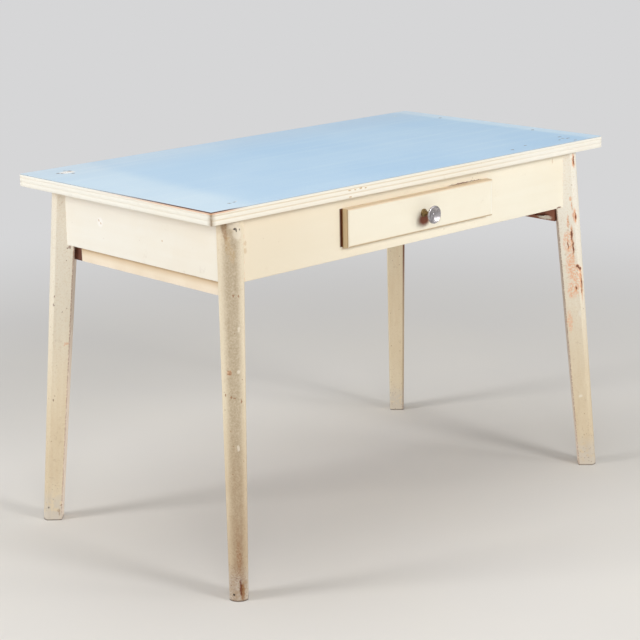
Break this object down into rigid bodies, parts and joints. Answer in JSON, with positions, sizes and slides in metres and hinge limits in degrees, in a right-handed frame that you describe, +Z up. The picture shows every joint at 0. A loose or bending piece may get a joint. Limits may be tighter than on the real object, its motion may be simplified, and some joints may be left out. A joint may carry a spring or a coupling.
{
  "type": "kitchen table",
  "caption": "Painted kitchen table with a laminate top in a ribbed edging, splayed tapered legs and a sliding drawer with a round knob in its long apron.",
  "frame": {"origin": "on the floor under the middle of the table", "axes": "+X along the table, +Y from the drawer side to the back, +Z up"},
  "size_m": [1.2, 0.6886, 0.8],
  "materials": {
    "blue_laminate": "satin",
    "cream_paint": "worn oil paint",
    "raw_wood": "raw, darkened",
    "chrome": "plated, hazed",
    "brass": "dull",
    "steel": "plain"
  },
  "bodies": {
    "table": {"top_screws": "steel", "corner_block_screws": "steel", "rail_screws": "steel", "kicker_screws": "steel", "top_laminate": "blue_laminate", "top_core": "raw_wood", "left_end_rail": "raw_wood", "right_end_rail": "raw_wood", "corner_block_front_left": "raw_wood", "corner_block_front_right": "raw_wood", "corner_block_back_left": "raw_wood", "corner_block_back_right": "raw_wood", "drawer_runner_left": "raw_wood", "drawer_kicker_left": "raw_wood", "drawer_runner_right": "raw_wood", "drawer_kicker_right": "raw_wood", "edging_front": "cream_paint", "front_apron": "cream_paint", "edging_right": "cream_paint", "right_apron": "cream_paint", "edging_back": "cream_paint", "back_apron": "cream_paint", "edging_left": "cream_paint", "left_apron": "cream_paint", "leg_front_left": "cream_paint", "leg_front_right": "cream_paint", "leg_back_left": "cream_paint", "leg_back_right": "cream_paint"},
    "drawer": {"drawer_front": "cream_paint", "drawer_side_left": "raw_wood", "drawer_side_right": "raw_wood", "drawer_back": "raw_wood", "drawer_bottom": "raw_wood", "knob_stem": "brass", "knob_cap": "chrome", "knob_screw": "steel"}
  },
  "joints": [
    {"name": "drawer_slide", "type": "slide", "parent": "table", "child": "drawer", "axis": [0, -1, 0], "range_m": [0, 0.36]}
  ]
}
